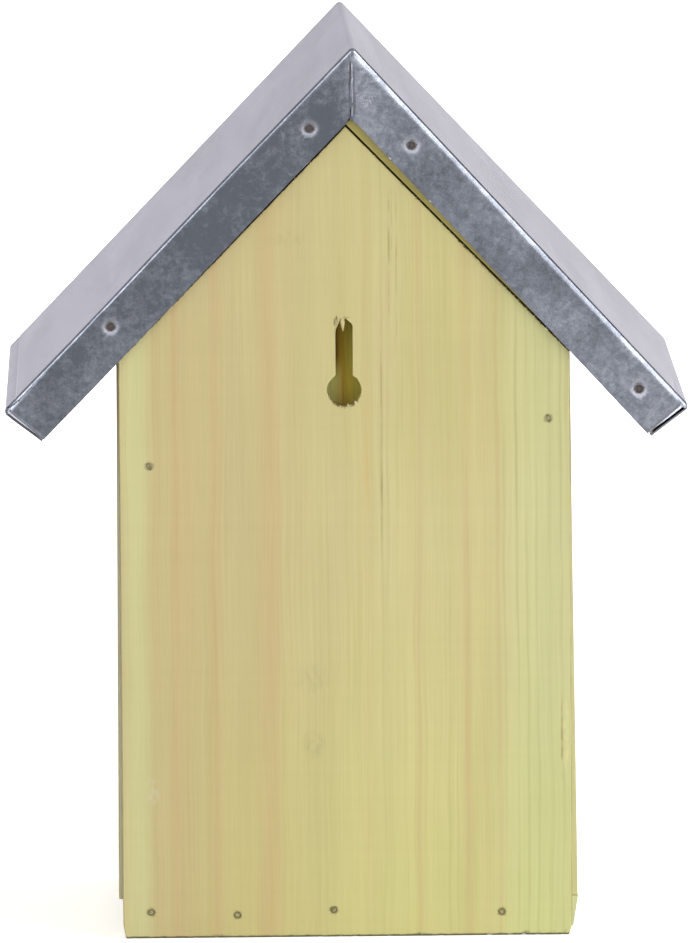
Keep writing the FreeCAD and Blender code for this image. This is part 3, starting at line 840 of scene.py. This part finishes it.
def tuck_board(bm, down, out):
    """The board at +X is planed lower towards its eave, where the sheet sits closer on it."""
    top, reach = (max(vert.co.dot(way) for vert in bm.verts) for way in (out, down))
    start = min(vert.co.dot(down) for vert in bm.verts)
    for vert in bm.verts:
        share = (vert.co.dot(down) - start) / (reach - start)
        if top - vert.co.dot(out) < 1.0 * MM:
            vert.co -= out * 0.6 * smooth_step(share, 0.2, 0.8) * MM
        if reach - vert.co.dot(down) < 0.6 * MM:
            vert.co -= down * 0.35 * MM


for node, side, seed in (("right_roof_board", 1, 21.1), ("left_roof_board", -1, 25.7)):
    down = Vector((side * math.cos(ROOF_PITCH), 0, -math.sin(ROOF_PITCH)))
    out = Vector((side * math.sin(ROOF_PITCH), 0, math.cos(ROOF_PITCH)))
    shaded = wood("wood_" + node, down, Y, -out, -120.0, seed, shift=12.0 * side, tint=PAINTED_SHADE_UNDER_SHEET)
    tuck = (lambda bm, down=down, out=out: tuck_board(bm, down, out)) if side > 0 else None
    dress_board(node, down, shaded, 4.0, 2.0, radius=0.2, seed=seed, shape=tuck)

# Splinters

def splinter(bm, foot, tip, width, thick, outward):
    """A flat tapering sliver of wood from foot to tip."""
    along = (tip - foot).normalized()
    across = along.cross(outward).normalized()
    rings = []
    for share, size in ((0.0, 0.8), (0.35, 1.0), (0.75, 0.55), (1.0, 0.08)):
        middle = foot.lerp(tip, share)
        corners = [(-1, 0), (0, 1), (1, 0), (0, -1)]
        wide, deep = across * (width / 2 * size), outward * (thick / 2 * size)
        rings.append([bm.verts.new((middle + wide * a + deep * b) * MM) for a, b in corners])
    for lower, upper in zip(rings, rings[1:]):
        for corner in range(4):
            other = (corner + 1) % 4
            bm.faces.new([lower[corner], lower[other], upper[other], upper[corner]])
    bm.faces.new(rings[0][::-1])
    bm.faces.new(rings[-1])


def keyhole_splinters():
    """Pale slivers left at the top of the slot and round the foot of the entry."""
    bm = bmesh.new()
    face = BACK_FACE - 0.1
    slivers = [
        ((0.35, 143.95), (0.25, 140.9), 1.0, 0.5, -0.3),
        ((0.9, 144.1), (2.35, 140.6), 0.42, 0.3, 0.1),
        ((-0.6, 144.1), (-1.9, 142.7), 0.5, 0.25, 0.0),
        ((-0.15, 144.6), (0.15, 142.9), 0.4, 0.3, 0.0),
        ((-1.1, 123.2), (-0.75, 124.15), 0.55, 0.3, -0.1),
        ((-2.75, 124.1), (-2.35, 124.9), 0.6, 0.3, -0.1),
        ((0.7, 123.1), (0.85, 123.8), 0.35, 0.3, -0.2),
        ((-1.7, 123.6), (-1.55, 124.0), 0.4, 0.3, -0.1),
    ]
    for (x0, z0), (x1, z1), width, thick, sink in slivers:
        splinter(bm, Vector((x0, face, z0)), Vector((x1, face + sink, z1)), width, thick, Y)
    return bm


def keyhole_fuzz():
    """Short torn fibres round the foot of the entry and over the slot's round top."""
    draw = random.Random(5)
    bm = bmesh.new()
    for middle_z, radius, start, end, count in ((KEYHOLE_ENTRY, KEYHOLE_RADIUS, 185, 365, 60),
                                                (KEYHOLE_TOP, SLOT_HALF_WIDTH, 10, 170, 16)):
        for _ in range(count):
            angle = math.radians(draw.uniform(start, end))
            reach = radius + draw.uniform(0.0, 0.22)
            root = Vector((reach * math.cos(angle), BACK_FACE - 0.15, middle_z + reach * math.sin(angle)))
            tip = root + Vector((draw.uniform(-0.12, 0.12), draw.uniform(-0.3, 0.1),
                                 -math.copysign(draw.uniform(0.25, 0.8), math.sin(angle))))
            splinter(bm, root, tip, draw.uniform(0.1, 0.24), 0.1, Y)
    return bm


def gable_splinters(outward, surface, high, seed):
    """Short torn fibres along the sawn gable edges."""
    draw = random.Random(seed)
    bm = bmesh.new()
    for side in (-1, 1):
        count = 110 if side < 0 else 45
        for _ in range(count):
            x = side * draw.uniform(4.0 if draw.random() < 0.45 else 26.0, HALF_WIDTH - 0.8)
            z = high.z - abs(x + 0.6) * math.tan(ROOF_PITCH)
            length = draw.uniform(0.25, 0.75)
            lean = side * draw.uniform(-0.1, 0.25)
            root = Vector((x, 0, z - 0.35)) + outward * (surface - 0.1)
            tip = root + Vector((lean, 0, length)) + outward * draw.uniform(0.0, 0.2)
            splinter(bm, root, tip, draw.uniform(0.12, 0.26), 0.12, outward)
    return bm


def fuzz(name):
    """Loose wood fibre, some pale and some dark."""
    g = Graph(name)
    patches = g.noise(g.place(), scale=1.1, detail=3.0, roughness=0.7)
    g.put(g.ramp(patches, [(0.42, TORN), (0.5, colour(178, 162, 98)), (0.6, colour(226, 220, 176))]),
          g.shader.inputs["Base Color"])
    g.shader.inputs["Roughness"].default_value = 0.8
    g.shader.inputs["Specular IOR Level"].default_value = 0.2
    g.bump(patches, 0.4, 0.0001)
    return g.material


pale = wood("wood_torn", Z, -X, Y, BACK_FACE, 3.3, tint=(1.22, 1.22, 1.28, 1.0))
loose = fuzz("wood_fuzz")
finish_mesh(keyhole_splinters(), "keyhole_splinters", None, pale)
finish_mesh(keyhole_fuzz(), "keyhole_fuzz", None, loose)
for name, outward, surface, high, seed in (("back_gable_fibres", Y, BACK_FACE, back_high, 11),
                                           ("front_gable_fibres", -Y, -FRONT_FACE, front_high, 12)):
    finish_mesh(gable_splinters(outward, surface, high, seed), name, None, loose)

# Sheet and brads

sheet_points = [vert.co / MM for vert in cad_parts["roof_sheet"].data.vertices]
sheet_top = max(sheet_points, key=lambda point: point.z)
squares = {}
# The eave flanges are bent past square by these degrees.
for side, lean in ((1, 4.4), (-1, 5.5)):
    angle = ROOF_PITCH + math.radians(lean)
    square = Vector((side * math.cos(angle), 0, -math.sin(angle)))
    squares[side] = (square, max(point.dot(square) for point in sheet_points if point.z < sheet_top.z - 20))
metal = zinc("zinc_sheet", sheet_brads, sheet_top.x, squares)


# How far the sheet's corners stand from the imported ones, as X and Z in millimetres: first at the
# back, then at the front.
RIDGE_SHIFT = ((0.0, 0.0), (0.8, -0.23))
EAVE_SHIFT = {1: ((0.0, -0.70), (-0.35, -0.2)), -1: ((0.0, 0.22), (0.0, 1.25))}


def settle_sheet(bm, top, ends, edge_y):
    """Twists the sheet a little on its boards, as it sits in the photo, but not at its brads."""
    for vert in bm.verts:
        side = 1 if vert.co.x > top.x else -1
        down, _, reach = ends[side]
        start = top.dot(down)
        along = max(0.0, min(1.0, (vert.co.dot(down) - start) / (reach - start)))
        front = max(0.0, min(1.0, (edge_y - vert.co.y) / (2 * edge_y)))
        late = smooth_step(along, 0.3, 0.85) if side > 0 else along
        shifts = []
        for ridge, eave, share in zip(RIDGE_SHIFT, EAVE_SHIFT[side], (late, along)):
            shifts.append([r + (e - r) * share for r, e in zip(ridge, eave)])
        near = min((Vector((head.x, 0, head.z)) - Vector((vert.co.x, 0, vert.co.z)) / MM).length
                   for head in sheet_brads if (head.y > 0) == (vert.co.y > 0))
        hold = smooth_step(near, 1.6, 5.5) if abs(vert.co.y) > edge_y - 1.5 * MM else 1.0
        x, z = [(back + (fore - back) * front) * hold for back, fore in zip(*shifts)]
        vert.co += Vector((x, 0, z)) * MM


def dress_sheet():
    """The folded sheet with a crease behind each fold, curled seam edges and slightly uneven faces."""
    bm = merged("roof_sheet")
    slopes = {round(math.copysign(1, normal.x)): (normal, distance)
              for normal, distance in outer_planes(bm) if normal.z > 0.5}
    top = max(bm.verts, key=lambda vert: vert.co.z).co.copy()
    edge_y = roof_high.y * MM
    near_seam = [vert.co for vert in bm.verts
                 if vert.co.y > edge_y - 1e-5 and abs(vert.co.x - top.x) < 2 * MM]
    foot = min(near_seam, key=lambda co: co.z)
    seam_down = Vector((foot.x - top.x, 0, foot.z - top.z))
    seam_length = seam_down.length
    seam_down.normalize()
    seam_across = Vector((-seam_down.z, 0, seam_down.x))
    if seam_across.x < 0:
        seam_across.negate()

    for share in (0.0, 0.35, 0.7, 1.05, 1.5):
        for sign in (-1, 1):
            slice_mesh(bm, Y, [sign * (edge_y - (1.05 + share) * MM)])
    slice_mesh(bm, Y, steps(-edge_y + 3 * MM, edge_y - 3 * MM, 7 * MM))
    ends = {}
    for side, (normal, distance) in slopes.items():
        on_side = lambda middle, side=side: (middle.x - top.x) * side > 0
        down = Vector((side * normal.z, 0, -abs(normal.x)))
        start, reach = top.dot(down), max(vert.co.dot(down) for vert in bm.verts)
        slice_mesh(bm, down, steps(start, reach, 2.2 * MM), on_side)
        slice_mesh(bm, down, [reach - gap * MM for gap in (3.6, 3.8, 4.0, 4.2, 4.4)], on_side)
        flange_reach = max(vert.co.dot(down) for vert in bm.verts if abs(vert.co.y) > edge_y - 1e-5)
        ends[side] = (down, flange_reach, reach)
        slice_mesh(bm, down, [flange_reach - gap * MM for gap in (0.35, 0.6, 0.85, 1.1, 1.4, 1.8)],
                   lambda middle: on_side(middle) and abs(middle.y) > edge_y - 0.6 * MM)
        depths = (0.06, 0.15, 0.28, 0.42, 0.6, 0.8, 1.0, 1.15, 1.3, 1.5, 1.75, 2.05, 2.4, 2.9, 3.5, 4.6, 6.0,
                  7.4, 8.8, 10.2)
        slice_mesh(bm, normal, [distance - depth * MM for depth in depths],
                   lambda middle: on_side(middle) and abs(middle.y) > edge_y - 1.2 * MM)

    def by_seam(middle):
        return abs((middle - top).dot(seam_across)) < 3 * MM and abs(middle.y) > edge_y - 0.6 * MM

    gaps = (-1.6, -1.2, -0.95, -0.8, -0.65, -0.5, -0.38, 0.38, 0.5, 0.62, 0.74, 0.88, 1.2, 1.6)
    offset = top.dot(seam_across)
    slice_mesh(bm, seam_across, [offset + gap * MM for gap in gaps], by_seam)
    bm.normal_update()

    def round_depth(below):
        """How far the CAD fold curves back at a distance below the slope's face, for its 1 mm radius."""
        return 1 - math.sqrt(max(0.0, 1 - (1 - min(below, 1.0)) ** 2))

    def fold_depth(below, vert, side):
        """The same for the fold as it shows: drawn out over the flange, more so beside the ridge."""
        away = abs((vert.co - top).dot(seam_across)) / MM
        reach = 1.8 + 2.0 * math.exp(-away / 5.0) if side < 0 else 2.1 + 0.9 * math.exp(-away / 3.0)
        share = max(0.0, 1 - max(0.0, below) / reach)
        return min(1.0, (1.15 if side < 0 else 1.75) * (1 - math.sqrt(max(0.0, 1 - share * share))))

    def on_fold(below, end_gap):
        return 0.0 <= below < 1.0 and end_gap < 1.0 and abs(end_gap - round_depth(below)) < 0.07

    moves = []
    for vert in bm.verts:
        spot = vert.co / MM
        side = 1 if vert.co.x > top.x else -1
        normal, distance = slopes[side]
        below = (distance - vert.co.dot(normal)) / MM
        end_gap = (edge_y - abs(vert.co.y)) / MM
        end = Vector((0, math.copysign(1, vert.co.y), 0))
        push = Vector((0, 0, 0))
        wave = 0.5 + 0.5 * wobble(spot.x * 0.10, spot.y * 0.05, spot.z * 0.10)
        ripple = 0.5 + 0.5 * wobble(spot.x * 0.33, spot.y * 0.2 + 7, spot.z * 0.33)
        if end_gap < 0.02 or (below > 1.2 and end_gap < 0.06):
            beside = (vert.co - top).dot(seam_across) / MM
            past = (vert.co - top).dot(seam_down) / MM
            share = past * MM / seam_length
            sunk = (0.16 * wave + 0.05 * ripple) * smooth_step(below, 1.0, 4.5)
            # The seam runs in a shallow hollow, and its two edges curl out of it.
            hollow = 0.30 * math.exp(-((beside - 0.4) / 0.75) ** 2)
            left_lip = max(0.0, 1 - abs(beside - 0.62) / 0.2) * smooth_step(share, 0.2, 0.3)
            left_lip *= smooth_step(share, 0.78, 0.7)
            right_lip = max(0.0, 1 - abs(beside + 0.3) / 0.2) * smooth_step(share, 0.2, 0.3)
            sunk += hollow * (1 - 0.8 * max(left_lip, right_lip))
            # The slit itself lies a little towards +X of the hollow.
            push += seam_across * (0.36 + 0.14 * share) * max(0.0, 1 - (beside / 1.3) ** 2)
            # The lower edge wavers, and hangs lower on the -X half.
            edge = smooth_step(below, 10.2, 11.0)
            push -= normal * edge * ((0.08 if side > 0 else 0.28) + 0.10 * (ripple - 0.5))
            # A groove makes a narrow raised rim at the eave, deeper on the -X half.
            down, flange_reach, _ = ends[side]
            from_end = (flange_reach - vert.co.dot(down)) / MM
            groove = max(0.0, 1 - abs(from_end - 0.95) / 0.5)
            sunk = sunk * smooth_step(from_end, 0.0, 1.2) + (0.24 if side < 0 else 0.03) * groove
            push -= end * min(0.45, sunk + fold_depth(below, vert, side) * smooth_step(from_end, 0.0, 1.0))
        elif on_fold(below, end_gap):
            push -= end * (fold_depth(below, vert, side) - round_depth(below))
        elif vert.normal.z > 0.3 and below < 1.5:
            depth = 0.10 * wave + 0.03 * ripple
            if below < 0.3:
                push -= normal * depth * smooth_step(end_gap, 1.0, 6.0)
            crease = max(0.0, 1 - abs(end_gap - 1.4) / 0.36)
            push -= normal * 0.34 * crease
            down, _, reach = ends[side]
            eave_crease = max(0.0, 1 - abs((reach - vert.co.dot(down)) / MM - 4.0) / 0.4)
            push -= normal * 0.10 * eave_crease
        # The eave's fold on the +X half leans in a little more towards its lower end.
        if side > 0:
            down, _, reach = ends[side]
            near_eave = max(0.0, min(1.0, 1 - ((reach - vert.co.dot(down)) / MM - 0.8) / 2.5))
            push -= down * 0.38 * near_eave * smooth_step(below, 2.0, 11.0)
        moves.append(push)
    for vert, push in zip(bm.verts, moves):
        vert.co += push * MM

    settle_sheet(bm, top, ends, edge_y)

    # The dented metal closes unevenly over the edge of each head.
    for number, head in enumerate(sheet_brads):
        for vert in bm.verts:
            flat = vert.co / MM - head
            flat.y = 0
            if flat.length < 1.12 and abs(vert.co.y) > abs(head.y) * MM - 0.06 * MM:
                ragged = 1 + 0.14 * noise.noise(flat * 1.8 + Vector((number * 2.7, 0, 0)))
                closed = Vector((flat.x * 0.68, 0, flat.z * 0.80)) * ragged
                vert.co += (closed - flat) * MM
    # Nothing stands out past the flanges of the CAD sheet.
    for vert in bm.verts:
        vert.co.y = max(-edge_y, min(edge_y, vert.co.y))
    return finish_mesh(bm, "roof_sheet_skin", "roof_sheet", metal, smooth=30)


def seam_tongue(outward):
    """The edge of one flange that is tucked behind the other at the ridge seam."""
    bm = bmesh.new()
    rows = []
    for number in range(10):
        z = sheet_top.z - 1.5 - number * 1.6
        half = 0.75 + 0.07 * number
        bulge = 0.08 * math.sin(number * 1.3)
        row = []
        for share in (-1, -0.3, 0.3, 1):
            for y in (roof_high.y - 0.93 + bulge * 0.3, roof_high.y - 0.66 + bulge * 0.3):
                x = sheet_top.x + 0.05 * number + share * half
                row.append(bm.verts.new(Vector((x, outward * y, z)) * MM))
        rows.append(row)
    for upper, lower in zip(rows, rows[1:]):
        for step in range(3):
            for layer in (0, 1):
                a, b = step * 2 + layer, step * 2 + 2 + layer
                bm.faces.new([upper[a], upper[b], lower[b], lower[a]])
        for column in (0, 6):
            bm.faces.new([upper[column], upper[column + 1], lower[column + 1], lower[column]])
    for row in (rows[0], rows[-1]):
        for step in range(3):
            bm.faces.new([row[step * 2], row[step * 2 + 1], row[step * 2 + 3], row[step * 2 + 2]])
    bmesh.ops.recalc_face_normals(bm, faces=bm.faces)
    name = "seam_tongue_back" if outward > 0 else "seam_tongue_front"
    return finish_mesh(bm, name, None, metal)


dress_sheet()
seam_tongue(1)
seam_tongue(-1)
# On the heads in wood the pale centre colour is a painted highlight.
wood_steel = brad("brad_in_wood", back_brads + front_brads + floor_brads,
                  colour(176, 166, 118), colour(104, 95, 52), colour(120, 110, 70))
sheet_steel = brad("brad_in_sheet", sheet_brads, colour(72, 56, 52), colour(30, 26, 25), colour(84, 76, 74))
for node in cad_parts:
    if node.endswith("nails"):
        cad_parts[node].material_slots[0].material = sheet_steel if "sheet" in node else wood_steel

# Floor, light and camera

scene = bpy.context.scene
scene.view_settings.view_transform = "Standard"


def make_floor():
    mesh = bpy.data.meshes.new("floor")
    bm = bmesh.new()
    bmesh.ops.create_circle(bm, cap_ends=True, segments=96, radius=9.0)
    bmesh.ops.translate(bm, verts=bm.verts, vec=(0, 0, -0.00005))
    bm.to_mesh(mesh)
    bm.free()
    floor = bpy.data.objects.new("floor", mesh)
    scene.collection.objects.link(floor)
    g = Graph("floor_white")
    fine = g.noise(g.place(), scale=0.02, detail=3.0)
    g.put(g.mix(fine, colour(236, 236, 236), colour(240, 240, 240)), g.shader.inputs["Base Color"])
    g.shader.inputs["Roughness"].default_value = 0.9
    g.shader.inputs["Specular IOR Level"].default_value = 0.1
    # Seen by the camera or in the metal, the lit floor is white and its shadows stay.
    path = g.add("ShaderNodeLightPath")
    seen = g.most(path.outputs["Is Camera Ray"], path.outputs["Is Glossy Ray"])
    away = g.add("ShaderNodeVectorMath", operation="LENGTH")
    g.put(g.place(), away.inputs[0])
    far = g.spread(away.outputs["Value"], 250.0, 900.0, 0.4, 1.0)
    g.shader.inputs["Emission Color"].default_value = (1, 1, 1, 1)
    g.put(g.times(seen, far), g.shader.inputs["Emission Strength"])
    mesh.materials.append(g.material)


def make_world():
    world = bpy.data.worlds.new("studio")
    scene.world = world
    world.use_nodes = True
    nodes, links = world.node_tree.nodes, world.node_tree.links
    path = nodes.new("ShaderNodeLightPath")
    seen = nodes.new("ShaderNodeMath")
    seen.operation = "MAXIMUM"
    links.new(path.outputs["Is Camera Ray"], seen.inputs[0])
    clear = nodes.new("ShaderNodeMath")
    clear.operation = "MAXIMUM"
    links.new(path.outputs["Is Glossy Ray"], clear.inputs[0])
    links.new(path.outputs["Is Transmission Ray"], clear.inputs[1])
    links.new(clear.outputs[0], seen.inputs[1])
    strength = nodes.new("ShaderNodeMapRange")
    links.new(seen.outputs[0], strength.inputs["Value"])
    strength.inputs["To Min"].default_value = 0.50
    strength.inputs["To Max"].default_value = 1.0
    links.new(strength.outputs[0], nodes["Background"].inputs["Strength"])
    nodes["Background"].inputs["Color"].default_value = (1, 1, 1, 1)


def softbox(name, place, target, width, height, power, glossy=True, diffuse=True):
    light = bpy.data.lights.new(name, "AREA")
    light.shape = "RECTANGLE"
    light.size, light.size_y = width, height
    light.energy = power
    lamp = bpy.data.objects.new(name, light)
    scene.collection.objects.link(lamp)
    lamp.location = place
    lamp.rotation_mode = "QUATERNION"
    lamp.rotation_quaternion = (Vector(target) - Vector(place)).to_track_quat("-Z", "Y")
    lamp.visible_camera = False
    lamp.visible_glossy = glossy
    lamp.visible_diffuse = diffuse


def make_camera():
    """The photo's view: a long lens a little above, and all but square to the back."""
    elevation, yaw, roll = math.radians(7.547), math.radians(1.068), math.radians(0.379)
    distance, focal_pixels, long_side = 2901.6 * MM, 12615.8, 943
    target = Vector((0.0, roof_high.y, 108.6)) * MM
    forward = -Vector((math.sin(yaw) * math.cos(elevation), math.cos(yaw) * math.cos(elevation),
                       math.sin(elevation)))
    right = forward.cross(Z).normalized()
    up = right.cross(forward)
    turned_right = right * math.cos(roll) - up * math.sin(roll)
    turned_up = up * math.cos(roll) + right * math.sin(roll)
    data = bpy.data.cameras.new("camera")
    camera = bpy.data.objects.new("camera", data)
    scene.collection.objects.link(camera)
    data.sensor_width = 36.0
    data.lens = focal_pixels * data.sensor_width / long_side
    data.clip_start, data.clip_end = 0.1, 50.0
    turn = Matrix((turned_right, turned_up, -forward)).transposed()
    camera.matrix_world = Matrix.Translation(target - forward * distance) @ turn.to_4x4()
    scene.camera = camera


make_floor()
make_world()
middle = (0.0, 0.0, 0.11)
softbox("key", (-1.35, 0.55, 1.05), middle, 1.5, 0.8, 24.0, glossy=False)
softbox("fill", (1.35, 0.65, 1.05), middle, 1.5, 0.8, 7.0, glossy=False)
softbox("front_fill", (0.3, -1.6, 1.0), middle, 1.2, 1.2, 12.0, glossy=False)
# Long strips that show only as highlights along the sheet's folds, much the same on both sides.
softbox("strip_left", (-1.10, 1.00, 0.94), middle, 1.7, 0.6, 44.0, diffuse=False)
softbox("strip_right", (1.12, 0.95, 0.96), middle, 1.6, 0.6, 46.0, diffuse=False)
make_camera()
